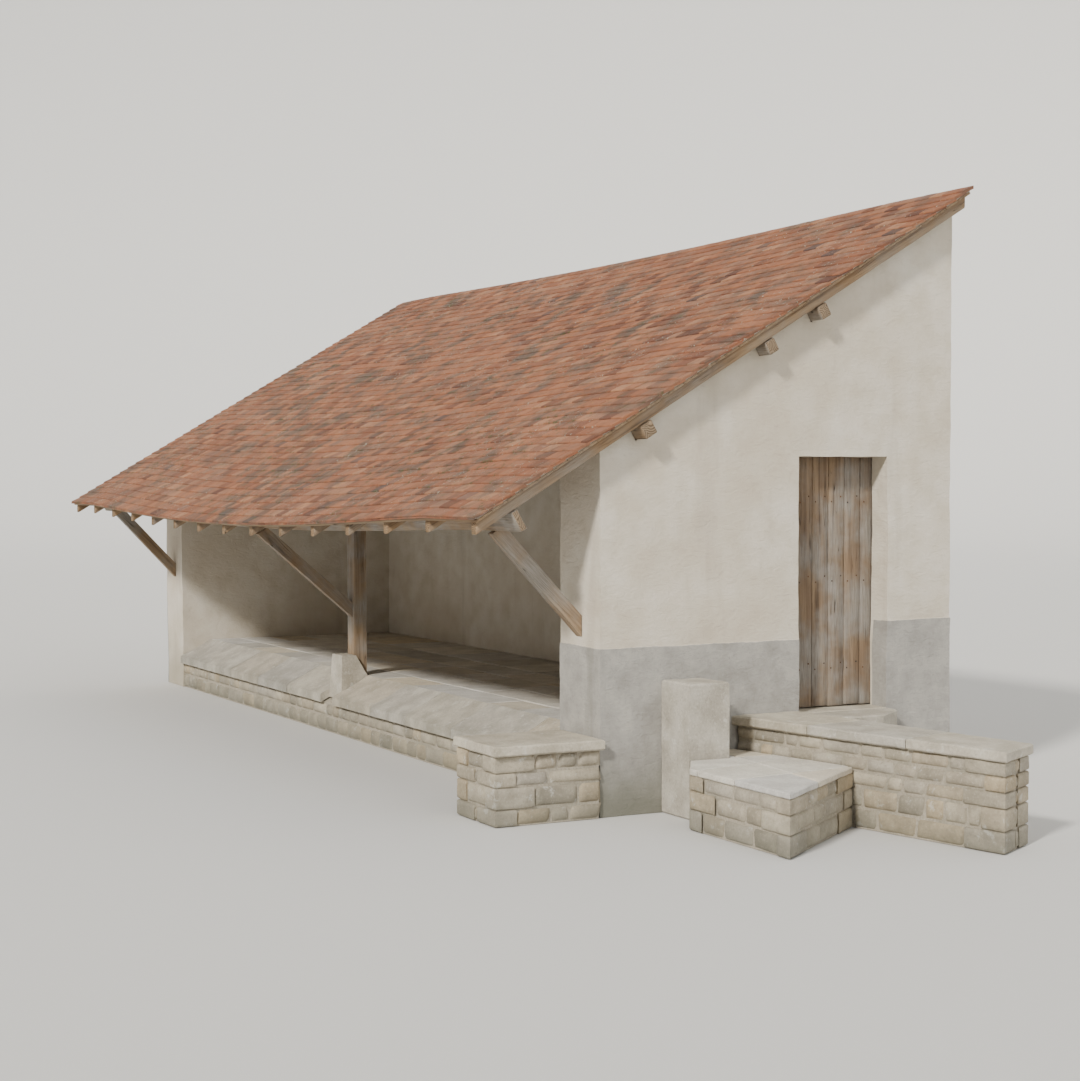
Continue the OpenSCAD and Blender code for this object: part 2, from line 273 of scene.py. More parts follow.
def beam(C, right, up, w, d, ch=.006, seed=0, wob=.0018, raise_ends=0.):
    """A sawn or hewn timber along the points C, with worn arrises, its end edges eased."""
    C = np.array(C, float)
    right, up = np.array(right, float), np.array(up, float)
    t0 = C[1] - C[0]; t0 /= np.linalg.norm(t0)
    t1 = C[-1] - C[-2]; t1 /= np.linalg.norm(t1)
    C2 = np.concatenate([[C[0]], [C[0] + t0 * ch], C[1:-1], [C[-1] - t1 * ch], [C[-1]]])
    R = []
    for i, c in enumerate(C2):
        end = i in (0, len(C2) - 1)
        hw, hd = w / 2 - (ch * .8 if end else 0), d / 2 - (ch * .8 if end else 0)
        q = np.array([(-hw + ch, -hd), (0, -hd), (hw - ch, -hd), (hw, -hd + ch), (hw, 0), (hw, hd - ch), (hw - ch, hd), (0, hd), (-hw + ch, hd), (-hw, hd - ch), (-hw, 0), (-hw, -hd + ch)])
        if raise_ends and end:
            q[:, 1] = np.where(q[:, 1] < 0, q[:, 1] + raise_ends * (-q[:, 1] / hd), q[:, 1])
        if wob:
            p = c + q[:, :1] * right + q[:, 1:] * up
            nn = vnoise(p / .22 + seed * 3.1, seed) * .5 + .5
            nm = vnoise(p / .06 + seed * 5.7, seed + 5) * .5 + .5
            q = q * (1 - (nn * wob + nm * wob * .35)[:, None] / np.array([hw, hd]))
        R.append(c + q[:, :1] * right + q[:, 1:] * up)
    return rings(R)


# ---- materials
class Mat:
    def __init__(s, name, rough_=.85):
        s.m = bpy.data.materials.new(name); s.m.use_nodes = True
        s.t = s.m.node_tree; s.t.nodes.clear()
        s.out = s.t.nodes.new("ShaderNodeOutputMaterial")
        s.b = s.t.nodes.new("ShaderNodeBsdfPrincipled")
        s.b.inputs["Roughness"].default_value = rough_
        s.b.inputs["Specular IOR Level"].default_value = .3
        s.t.links.new(s.b.outputs[0], s.out.inputs[0])
        tc = s.t.nodes.new("ShaderNodeTexCoord")
        s.P0 = tc.outputs["Object"]
        away = s.t.nodes.new("ShaderNodeMapping")  # keeps the patterns' own zero off the object
        away.inputs["Location"].default_value = (31.7, 23.9, 17.3)
        s.t.links.new(s.P0, away.inputs["Vector"])
        s.P = away.outputs[0]
        s.tint = s.attr("tint")

    def link(s, a, b):
        if hasattr(a, "is_output"):
            s.t.links.new(a, b)
        else:
            b.default_value = a

    def attr(s, name):
        a = s.t.nodes.new("ShaderNodeAttribute"); a.attribute_name = name
        return a.outputs["Fac"]

    def noise(s, scale, detail=4, r=.55, vec=None, dist=0.):
        n = s.t.nodes.new("ShaderNodeTexNoise")
        s.t.links.new(vec or s.P, n.inputs["Vector"])
        n.inputs["Scale"].default_value = scale
        n.inputs["Detail"].default_value = detail
        n.inputs["Roughness"].default_value = r
        n.inputs["Distortion"].default_value = dist
        return n.outputs["Fac"]

    def vor(s, scale, vec=None, feature="F1"):
        n = s.t.nodes.new("ShaderNodeTexVoronoi"); n.feature = feature
        s.t.links.new(vec or s.P, n.inputs["Vector"])
        n.inputs["Scale"].default_value = scale
        return n.outputs["Distance"]

    def stretch(s, k, vec=None, turn=None):
        m = s.t.nodes.new("ShaderNodeMapping")
        s.t.links.new(vec or s.P, m.inputs["Vector"])
        m.inputs["Scale"].default_value = k
        if turn:
            r = s.t.nodes.new("ShaderNodeMapping")
            s.t.links.new(vec or s.P, r.inputs["Vector"])
            r.inputs["Rotation"].default_value = turn
            s.t.links.new(r.outputs[0], m.inputs["Vector"])
        return m.outputs[0]

    def ma(s, op, a, b=0., c=None, clamp=False):
        n = s.t.nodes.new("ShaderNodeMath"); n.operation = op; n.use_clamp = clamp
        s.link(a, n.inputs[0]); s.link(b, n.inputs[1])
        if c is not None:
            s.link(c, n.inputs[2])
        return n.outputs[0]

    def map(s, v, a, b, c=0., d=1.):
        n = s.t.nodes.new("ShaderNodeMapRange"); n.interpolation_type = "SMOOTHSTEP"
        s.link(v, n.inputs[0])
        for i, x in enumerate((a, b, c, d)):
            n.inputs[i + 1].default_value = x
        return n.outputs[0]

    def ramp(s, v, stops):
        n = s.t.nodes.new("ShaderNodeValToRGB")
        e = n.color_ramp.elements
        while len(e) < len(stops):
            e.new(.5)
        for k, (p, c) in enumerate(stops):
            e[k].position = p; e[k].color = (*c, 1)
        s.link(v, n.inputs[0])
        return n.outputs[0]

    def mix(s, f, a, b, mode="MIX"):
        n = s.t.nodes.new("ShaderNodeMix"); n.data_type = "RGBA"; n.blend_type = mode
        s.link(f, n.inputs[0])
        s.link((*a, 1) if isinstance(a, tuple) else a, n.inputs[6])
        s.link((*b, 1) if isinstance(b, tuple) else b, n.inputs[7])
        return n.outputs[2]

    def axis(s, k):
        n = s.t.nodes.new("ShaderNodeSeparateXYZ")
        s.t.links.new(s.P0, n.inputs[0])
        return n.outputs[k]

    def facing(s, v):
        """How far the surface faces the fixed direction v of the model."""
        tc = s.t.nodes.new("ShaderNodeTexCoord")
        n = s.t.nodes.new("ShaderNodeVectorMath"); n.operation = "DOT_PRODUCT"
        s.t.links.new(tc.outputs["Normal"], n.inputs[0])
        n.inputs[1].default_value = v
        return n.outputs["Value"]

    def done(s, color, rough_=None, bumps=()):
        s.link((*color, 1) if isinstance(color, tuple) else color, s.b.inputs["Base Color"])
        if rough_ is not None:
            s.link(rough_, s.b.inputs["Roughness"])
        prev = None
        for h, dist in bumps:
            n = s.t.nodes.new("ShaderNodeBump")
            n.inputs["Strength"].default_value = 1
            n.inputs["Distance"].default_value = dist
            s.link(h, n.inputs["Height"])
            if prev:
                s.t.links.new(prev, n.inputs["Normal"])
            prev = n.outputs[0]
        if prev:
            s.t.links.new(prev, s.b.inputs["Normal"])
        return s.m


def render_mat():
    m = Mat("lime_render", .9)
    big, mid, fine = m.noise(.7, 3), m.noise(4.5, 5), m.noise(38, 6, .65)
    trowel = m.noise(9, 3, .5, m.stretch((1, 1, 2.2)), 1.2)
    c = m.ramp(mid, [(.30, (.60, .535, .43)), (.52, (.685, .625, .525)), (.75, (.74, .69, .60))])
    c = m.mix(m.map(big, .42, .66, 0, .55), c, (.56, .48, .37))
    c = m.mix(m.map(fine, .55, .75, 0, .35), c, (.50, .44, .35))
    streak = m.noise(3.2, 4, .6, m.stretch((1, 1, .12)))
    c = m.mix(m.map(streak, .56, .74, 0, .38), c, (.43, .37, .29))
    z = m.axis(2)
    damp = m.ma("ADD", z, m.ma("MULTIPLY", m.noise(2.6, 5), .5))
    c = m.mix(m.map(damp, .35, .95, .55, 0), c, (.30, .27, .20))
    band = m.map(m.ma("ADD", m.attr("dado"), m.ma("MULTIPLY", m.ma("SUBTRACT", m.noise(22, 4), .5), .012)), -.0015, .0015)
    cem = m.ramp(m.noise(6, 6, .6), [(.3, (.315, .30, .275)), (.55, (.40, .385, .355)), (.8, (.47, .45, .41))])
    cem = m.mix(m.map(fine, .5, .72, 0, .4), cem, (.25, .24, .22))
    cem = m.mix(m.map(streak, .55, .72, 0, .5), cem, (.23, .22, .19))
    cem = m.mix(m.map(damp, .25, .75, .75, 0), cem, (.15, .15, .11))
    c = m.mix(band, c, cem)
    return m.done(c, m.map(mid, .3, .7, .80, .95), [(trowel, .006), (mid, .006), (fine, .0022), (m.noise(160, 3), .0007)])


def stone_mat(name, light, dark, tinted=True, pits=1., wet=None):
    m = Mat(name, .82)
    mid, fine, big = m.noise(5, 6, .6), m.noise(55, 6, .65), m.noise(1.1, 3)
    c = m.mix(m.map(mid, .32, .70), dark, light)
    if tinted:
        t = m.ramp(m.tint, [(0, (.66, .65, .62)), (.3, (1, .97, .91)), (.6, (.87, .87, .88)), (.8, (1.0, .90, .74)), (1, (.80, .77, .72))])
        c = m.mix(1., c, t, "MULTIPLY")
    c = m.mix(m.map(fine, .52, .72, 0, .5), c, tuple(x * .6 for x in dark))
    c = m.mix(m.map(fine, .48, .30, 0, .3), c, tuple(min(1, x * 1.25) for x in light))
    lichen = m.ma("MULTIPLY", m.map(m.noise(17, 5, .7), .57, .64), m.map(big, .46, .62))
    c = m.mix(m.ma("MULTIPLY", lichen, .55), c, (.42, .41, .30))
    grey = m.ma("MULTIPLY", m.map(m.noise(9, 6, .7), .58, .66), .5)
    c = m.mix(grey, c, (.66, .65, .60))
    if wet:
        c = m.mix(m.map(m.ma("ADD", m.axis(wet[0]), m.ma("MULTIPLY", m.noise(5, 4), .16)), wet[1], wet[2], .6, 0), c, (.15, .15, .115))
    pit = m.map(m.vor(70), .10, .32)
    return m.done(c, m.map(mid, .3, .7, .70, .9), [(mid, .005), (fine, .0025), (pit, .0012 * pits), (m.noise(220, 2), .0004)])


def mortar_mat():
    m = Mat("lime_mortar", .95)
    f = m.noise(60, 6, .7)
    c = m.ramp(f, [(.3, (.30, .265, .21)), (.55, (.43, .385, .31)), (.75, (.52, .475, .39))])
    c = m.mix(m.map(m.noise(3, 4), .45, .65, 0, .5), c, (.25, .235, .18))
    return m.done(c, .95, [(f, .004), (m.noise(180, 2), .001)])


def wood_mat(name, L, pale, brown, dark, grey=.6, turn=None, coarse=1., endl=None):
    """Grain runs along L, an axis index, after the turn."""
    m = Mat(name, .8)
    k = [1., 1., 1.]; k[L] = .045
    v = m.stretch(tuple(k), turn=turn)
    off = m.t.nodes.new("ShaderNodeVectorMath"); off.operation = "ADD"
    comb = m.t.nodes.new("ShaderNodeCombineXYZ")
    for i in range(3):
        m.t.links.new(m.ma("MULTIPLY", m.tint, 7.3 + 3 * i), comb.inputs[i])
    m.t.links.new(v, off.inputs[0]); m.t.links.new(comb.outputs[0], off.inputs[1])
    v = off.outputs[0]
    grain, fib, band = m.noise(26 * coarse, 5, .6, v, .6), m.noise(150 * coarse, 4, .65, v), m.noise(7 * coarse, 3, .5, v, 1.5)
    c = m.ramp(grain, [(.28, dark), (.46, brown), (.66, pale)])
    c = m.mix(m.map(band, .42, .62, 0, .45), c, brown)
    c = m.mix(m.map(fib, .55, .7, 0, .55), c, dark)
    g = m.ma("MULTIPLY", m.map(m.noise(2.3, 4), .38, .66), grey)
    c = m.mix(g, c, m.ramp(fib, [(.3, (.16, .15, .135)), (.6, (.36, .345, .315)), (.8, (.46, .445, .41))]))
    c = m.mix(m.ma("MULTIPLY", m.ma("SUBTRACT", m.tint, .5), .45, clamp=True), c, dark)
    crackv = [2.6, 2.6, 2.6]; crackv[L] = .09
    crack = m.map(m.noise(9, 1, .4, m.stretch(tuple(crackv), turn=turn), .1), .492, .5, 0, 1)
    crack = m.ma("MULTIPLY", crack, m.map(m.noise(9, 1, .4, m.stretch(tuple(crackv), turn=turn), .1), .5, .508, 1, 0))
    crack = m.ma("MULTIPLY", crack, m.map(m.noise(3.3, 2), .50, .60))
    c = m.mix(m.ma("MULTIPLY", crack, .85), c, tuple(x * .25 for x in dark))
    if endl:
        e = m.map(m.ma("ABSOLUTE", m.facing(endl)), .72, .86)
        ring = m.vor(9, None, "F1")
        rr = m.ramp(m.ma("FRACT", m.ma("MULTIPLY", ring, 9)), [(.1, dark), (.6, tuple(x * .8 for x in pale)), (1, brown)])
        c = m.mix(e, c, rr)
    return m.done(c, m.map(grain, .3, .7, .72, .92), [(grain, .0025), (fib, .0012), (m.ma("MULTIPLY", crack, -1.), .004)])


def tile_mat():
    m = Mat("clay_tiles", .85)
    c = m.ramp(m.tint, [(0, (.11, .045, .03)), (.18, (.20, .078, .043)), (.38, (.275, .108, .056)), (.55, (.34, .142, .072)), (.70, (.245, .115, .072)), (.84, (.40, .195, .105)), (.93, (.18, .095, .07)), (1, (.10, .06, .05))])
    mid, fine, big = m.noise(11, 6, .65), m.noise(85, 5, .65), m.noise(.8, 4)
    c = m.mix(m.map(mid, .48, .68, 0, .5), c, (.17, .095, .06))
    c = m.mix(m.map(fine, .57, .72, 0, .3), c, (.44, .22, .13))
    soot = m.ma("MULTIPLY", m.map(m.noise(3.2, 5, .6), .44, .66), m.map(big, .30, .62, .25, .8))
    c = m.mix(soot, c, (.095, .08, .065))
    lich = m.ma("MULTIPLY", m.map(m.noise(34, 5, .7), .60, .655), m.map(m.noise(1.9, 3), .44, .60))
    c = m.mix(m.ma("MULTIPLY", lich, .8), c, (.46, .455, .36))
    yel = m.ma("MULTIPLY", m.map(m.noise(47, 4, .7), .635, .68), m.map(m.noise(1.3, 3), .5, .64))
    c = m.mix(m.ma("MULTIPLY", yel, .75), c, (.50, .38, .10))
    moss = m.ma("MULTIPLY", m.map(m.noise(13, 6, .75), .56, .63), m.map(m.ma("ADD", big, m.ma("MULTIPLY", m.axis(1), -.035)), .44, .60))
    c = m.mix(m.ma("MULTIPLY", moss, .75), c, (.085, .10, .04))
    return m.done(c, m.map(mid, .3, .7, .72, .93), [(mid, .0025), (fine, .0014), (m.noise(260, 2), .0004), (m.ma("MULTIPLY", moss, m.noise(120, 3)), .004)])


def iron_mat():
    m = Mat("wrought_iron", .6)
    f, g = m.noise(40, 6, .7), m.noise(9, 4)
    r = m.map(f, .42, .62)
    c = m.mix(r, (.045, .042, .04), (.16, .075, .035))
    c = m.mix(m.map(g, .5, .7, 0, .5), c, (.25, .11, .045))
    m.b.inputs["Metallic"].default_value = .55
    return m.done(c, m.map(f, .35, .65, .45, .85), [(f, .0012), (m.noise(130, 4), .0005)])


LIME = render_mat()
DRESSED = stone_mat("limestone_dressed", (.60, .565, .49), (.43, .395, .33))
WASH = stone_mat("limestone_washing", (.585, .56, .50), (.42, .395, .345), True, .7, (1, -1.63, -1.38))
PAVE = stone_mat("limestone_paving", (.80, .78, .73), (.62, .60, .555))
RUBBLE = stone_mat("limestone_rubble", (.53, .485, .40), (.36, .325, .265), True, 1.4, (2, 0., .42))
MORTAR = mortar_mat()
OAKP, OAKB, OAKD = (.40, .30, .20), (.26, .18, .11), (.085, .058, .036)
OAKX = wood_mat("oak_long", 0, OAKP, OAKB, OAKD, .75, endl=(1, 0, 0))
OAKZ = wood_mat("oak_upright", 2, OAKP, OAKB, OAKD, .85)
OAKR = wood_mat("oak_brace", 1, OAKP, OAKB, OAKD, .75, turn=(math.radians(44.5), 0, 0))
RAFT = wood_mat("rafter_pine", 1, (.42, .29, .17), (.29, .185, .10), (.10, .062, .035), .5, turn=(-TH, 0, 0), endl=(0, 1, 0))
BOARD = wood_mat("roof_boarding_wood", 0, (.46, .33, .20), (.33, .22, .125), (.13, .08, .045), .3)
DOORW = wood_mat("door_planks", 2, (.33, .235, .15), (.20, .135, .085), (.06, .04, .026), .8)
LEDGEW = wood_mat("door_ledge_wood", 1, (.33, .235, .15), (.20, .135, .085), (.06, .04, .026), .5)
TILE = tile_mat()
IRON = iron_mat()

# ---- walls
def at_x(p2, a):
    return np.stack([a, p2[:, 0], p2[:, 1]], 1)


def at_z(p2, a):
    return np.stack([p2[:, 0], p2[:, 1], a], 1)


def top_of_gable(y):
    return float(rz(y) + RV - .008)


def notch(y0, w, d):
    b1 = (RV - .008) * CT
    def q(a, b):
        return (y0 + a * CT - b * ST, float(rz(y0)) + a * ST + b * CT)
    h = w / 2 + .001
    return [q(h, b1), q(h, -d - .003), q(-h, -d - .003), q(-h, b1)]


GAB = [(0, 0), (DEP, 0), (DEP, 1.296), (DEP, 1.304), (DEP, top_of_gable(DEP))]
for y0, w, d in ((1.765, .095, .105), (1.310, .095, .105), (.285, .110, .110)):
    GAB += notch(y0, w, d)
GAB += [(0, top_of_gable(0)), (0, 1.194), (0, 1.186)]
DOOR_H = [(1.68, .565), (1.68, 2.54), (2.48, 2.54), (2.48, .565)]
EMB_H = [(1.63, .565), (1.63, 2.56), (1.48, 2.56), (1.48, 2.70), (2.69, 2.70), (2.69, 2.56), (2.54, 2.56), (2.54, .565)]
STEP_F = [(1.63, .565), (1.68, .565), (1.68, 2.54), (2.48, 2.54), (2.48, .565), (2.54, .565), (2.54, 2.56), (2.69, 2.56), (2.69, 2.70), (1.48, 2.70), (1.48, 2.56), (1.63, 2.56)]
WALL_AMPS = [(.9, .007), (.28, .0045), (.10, .0022), (.045, .0007)]


def zline(y):
    return np.where(y > 2.2, 1.30, 1.19)


def near_dado(b):
    outer = (b[:, 0] > -.19) | ((b[:, 1] < .005) & (b[:, 0] > -.65)) | ((b[:, 1] > DEP - .005))
    return np.where(outer, zline(b[:, 1]) - b[:, 2], -1.)


def near_step(b, v):
    k = np.clip((b[:, 2] - zline(b[:, 1]) + .004) / .008, 0, 1) * .007
    v[:, 0] -= np.where(b[:, 0] > -.001, k, 0)
    v[:, 1] += np.where(b[:, 1] < .001, k, 0)
    v[:, 1] -= np.where(b[:, 1] > DEP - .001, k, 0)
    return v


def near_gable():
    s = .032
    rows = [1.186, 1.194, 1.296, 1.304]
    V, F = [], []
    def part(v, f):
        k = sum(len(x) for x in V)
        V.append(v); F.extend([[i + k for i in q] for q in f])
    g = [resample(np.array(GAB, float), s)]
    dl, el = resample(np.array(DOOR_H, float), s), resample(np.array(EMB_H, float), s)
    v2, t = cap(g + [dl], s, rows); part(at_x(v2, np.zeros(len(v2))), t)
    v2, t = cap(g + [el], s, rows); part(at_x(v2, np.full(len(v2), -.6)), t)
    # the step face needs the very points of both reveals
    st = resample(np.array(STEP_F, float), s)
    v2, t = cap([st], s); part(at_x(v2, np.full(len(v2), -.2)), t)
    for L, x0, x1, n in ((g[0], -.6, 0, 18), (dl, -.2, 0, 6), (el, -.6, -.2, 12)):
        m = len(L)
        R = [at_x(L, np.full(m, x0 + (x1 - x0) * k / n)) for k in range(n + 1)]
        v, f = rings(R, False); part(v, f)
    a = Acc(); a.add(*weld(np.concatenate(V), F))
    return make("near_gable_rendered", a, LIME, ("near_gable_front", "near_gable_rear", "near_gable_over_door", "near_gable_under_door"),
                amps=WALL_AMPS, dado=near_dado, post=near_step)


near_gable()

a = Acc(); a.add(*prism([GAB], -10.5, -9.9, at_x, .045, rows=[1.296, 1.304]))


def far_step(b, v):
    k = np.clip((b[:, 2] - 1.30 + .004) / .008, 0, 1) * .007
    v[:, 1] -= np.where(b[:, 1] > DEP - .001, k, 0)
    v[:, 0] += np.where(b[:, 0] < -10.499, k, 0)
    return v


make("far_gable_rendered", a, LIME, ("far_gable_wall",), amps=WALL_AMPS, post=far_step,
     dado=lambda b: np.where((b[:, 0] < -10.495) | (b[:, 1] > DEP - .005), 1.30 - b[:, 2], -1.))


def back_wall():
    xs = np.linspace(-9.9, -.6, 190)
    R = []
    for x in xs:
        zi = float(rz(2.77) - .125 - sag(x, 2.89)); zo = float(rz(2.89) - .022 - sag(x, 2.89))
        p = [(2.56, z) for z in np.linspace(0, zi, 76)[:-1]] + [(y, zi) for y in np.linspace(2.56, 2.891, 7)[:-1]]
        p += [(2.891, z) for z in np.linspace(zi, zo, 4)[:-1]] + [(y, zo) for y in np.linspace(2.891, 3.08, 5)[:-1]]
        low = [z for z in np.linspace(zo, 0, 86)[:-1] if abs(z - 1.30) > .02]
        low = sorted(low + [1.304, 1.296], reverse=True)
        p += [(3.08, z) for z in low] + [(y, 0) for y in np.linspace(3.08, 2.56, 6)[:-1]]
        R.append(np.array([(x, y, z) for y, z in p]))
    m = min(len(r) for r in R)
    if any(len(r) != m for r in R):
        raise RuntimeError("back wall rows")
    a = Acc(); a.add(*rings(R))
    def post(b, v):
        k = np.clip((b[:, 2] - 1.30 + .004) / .008, 0, 1) * .007
        v[:, 1] -= np.where(b[:, 1] > DEP - .001, k, 0)
        return v
    make("back_wall_rendered", a, LIME, ("back_wall",), amps=WALL_AMPS, post=post,
         dado=lambda b: np.where(b[:, 1] > DEP - .005, 1.30 - b[:, 2], -1.))


back_wall()


def beam_fill():
    """Render filled in between the rafters on top of the back wall."""
    a = Acc()
    for i in range(1, 13):
        x1, x0 = RX[i] - .039, RX[i + 1] + .039
        xs = np.linspace(max(x0, -9.898), min(x1, -.602), 14)
        R = []
        for x in xs:
            zb = float(rz(2.89) - .030 - sag(x, 2.89))
            q = [(2.72, float(rz(2.72) - sag(x, 2.72)) + .02), (2.74, float(rz(2.74) - sag(x, 2.74)) + RV - .004)]
            q = [(2.905, zb), (2.905, float(rz(2.905) - sag(x, 2.905)) + RV - .003), (2.98, float(rz(2.98) - sag(x, 2.98)) + RV - .003),
                 (3.058, float(rz(3.058) - sag(x, 3.058)) + RV - .003), (3.066, float(rz(3.058) - sag(x, 3.058)) + RV - .012), (3.070, zb + .06), (3.072, zb)]
            R.append(np.array([(x, y, z) for y, z in q]))
        a.add(*rings(R))
    make("back_wall_beam_fill", a, LIME, amps=[(.15, .004), (.05, .0018)], dado=lambda b: np.full(len(b), -1.))


beam_fill()

# ---- stone
SA = [(.35, .003), (.09, .0016), (.03, .0007)]
rs = np.random.default_rng(11)


def split_strip(p0, p1, q0, q1, n, gap, rnd=0.):
    """Cuts a four-sided strip into n stones with joints."""
    cuts = [0.] + [(k + rnd * rs.uniform(-.5, .5)) / n for k in range(1, n)] + [1.]
    p0, p1, q0, q1 = map(np.array, (p0, p1, q0, q1))
    L = np.linalg.norm(p1 - p0)
    out = []
    for a, b in zip(cuts, cuts[1:]):
        a2, b2 = a + (gap / 2 / L if a > 0 else 0), b - (gap / 2 / L if b < 1 else 0)
        out.append([tuple(p0 + (p1 - p0) * a2), tuple(p0 + (p1 - p0) * b2), tuple(q0 + (q1 - q0) * b2), tuple(q0 + (q1 - q0) * a2)])
    return out


a = Acc(); a.add(*prism([[(-.62, 1.631), (-.2, 1.631), (-.2, 1.681), (-.002, 1.681), (-.002, 2.479), (-.2, 2.479), (-.2, 2.539), (-.62, 2.539)]], .565, .645, at_z, .03, .007), .35)
make("door_sill_stone", a, DRESSED, ("door_sill",), amps=[(.3, .002), (.06, .0012)])

a = Acc(); a.add(*prism([[(.002, 1.672), (.345, 1.724), (.345, 2.190), (.110, 2.490), (.002, 2.490)]], 0, .64, at_z, .03, .012), .5)
make("threshold_stone", a, DRESSED, ("threshold",), amps=SA)

a = Acc(); a.add(*prism([[(-.585, -.86), (.08, -.86), (.08, -.002), (-.585, -.002)]], .49, .56, at_z, .022, .010), .3)
make("corner_slab_stone", a, DRESSED, ("corner_slab",), amps=SA)

a = Acc()
for q, t in zip(split_strip((.002, 1.090), (2.420, 1.570), (.002, 1.660), (2.190, 1.990), 3, .008, .25), (.25, .6, .4)):
    a.add(*prism([q], .59, .66, at_z, .026, .010), t)
make("wing_coping_stones", a, DRESSED, ("wing_coping",), amps=SA)

a = Acc(); a.add(*prism([[(.002, .5), (.382, .5), (.382, .825), (.002, .825)]], 0, .95, at_z, .024, .012), .55)
make("pillar_stone", a, DRESSED, ("stone_pillar",), amps=SA)


def base_stone():
    prof = [(.060, .322), (.328, .455), (.328, .542), (.222, .728), (.150, .730), (.082, .730)]
    def to3(p2, x):
        half = np.interp(p2[:, 1], [.3, .4, .74], [.152, .152, .126])
        return np.stack([-5.25 + x * half, p2[:, 0], p2[:, 1]], 1)
    a = Acc(); a.add(*prism([prof], -1, 1, to3, .018, 0, 14), .45)
    make("post_base_stone", a, DRESSED, ("post_base",), amps=[(.2, .0025), (.05, .0015), (.02, .0006)])


base_stone()


def wash_stones(x0, x1, n, name, node):
    a = Acc()
    cuts = [x0] + [x0 + (x1 - x0) * (k + rs.uniform(-.12, .12)) / n for k in range(1, n)] + [x1]
    for k, (u, w) in enumerate(zip(cuts, cuts[1:])):
        u2, w2 = u + (.003 if k else 0), w - (.003 if k < n - 1 else 0)
        dz, dy = rs.uniform(-.004, 0), rs.uniform(0, .006)
        def to3(p2, h, dz=dz, dy=dy):
            y = p2[:, 1]
            t = (y + .03) / .36
            dish = .006 * np.sin(np.clip(t, 0, 1) * math.pi) * (h > .0)
            return np.stack([p2[:, 0], y + dy * (1 - t), .36 + .18 * t + h * .085 - .085 + dz * (h > 0) - dish], 1)
        v, f = prism([[(u2, -.03), (w2, -.03), (w2, .33), (u2, .33)]], 0, 1, to3, .028, 0, 4)
        # ease the lower front arris
        e = np.exp(-((v[:, 1] + .03) / .016) ** 2) * (v[:, 2] > .34)
        v[:, 2] -= .009 * e
        a.add(v, f, rs.uniform(.15, .75))
    make(name, a, WASH, (node,), amps=[(.4, .003), (.10, .0015), (.035, .0006)])


wash_stones(-5.092, -.602, 5, "washing_stones_near_bay", "washing_stones_near")
wash_stones(-9.898, -5.408, 5, "washing_stones_far_bay", "washing_stones_far")


def paving():
    a = Acc(); y = .331
    widths = []
    while y < 2.558:
        w = rs.uniform(.34, .50)
        if 2.558 - y - w < .22:
            w = 2.558 - y
        widths.append((y, w)); y += w
    for y, w in widths:
        x = -9.898
        while x < -.622:
            l = rs.uniform(.42, .95)
            if -.622 - x - l < .3:
                l = -.622 - x
            g = .004
            z = .538 - rs.uniform(0, .006)
            j = lambda: rs.uniform(-.002, .002)
            q = [(x + g + j(), y + g + j()), (x + l - g + j(), y + g + j()), (x + l - g + j(), y + w - g + j()), (x + g + j(), y + w - g + j())]
            a.add(*prism([q], .465, z, at_z, .075, .006, 1), rs.uniform(0, 1))
            x += l
    make("floor_flagstones", a, PAVE, ("floor_paving",), amps=[(.5, .002), (.12, .0012)])
    b = Acc(); b.add(*prism([[(-9.9, .33), (-.6, .33), (-.6, 2.56), (-9.9, 2.56)]], 0, .46 + .066, at_z, .2, 0, 2))
    make("floor_bedding", b, MORTAR, ("floor_base",))


paving()


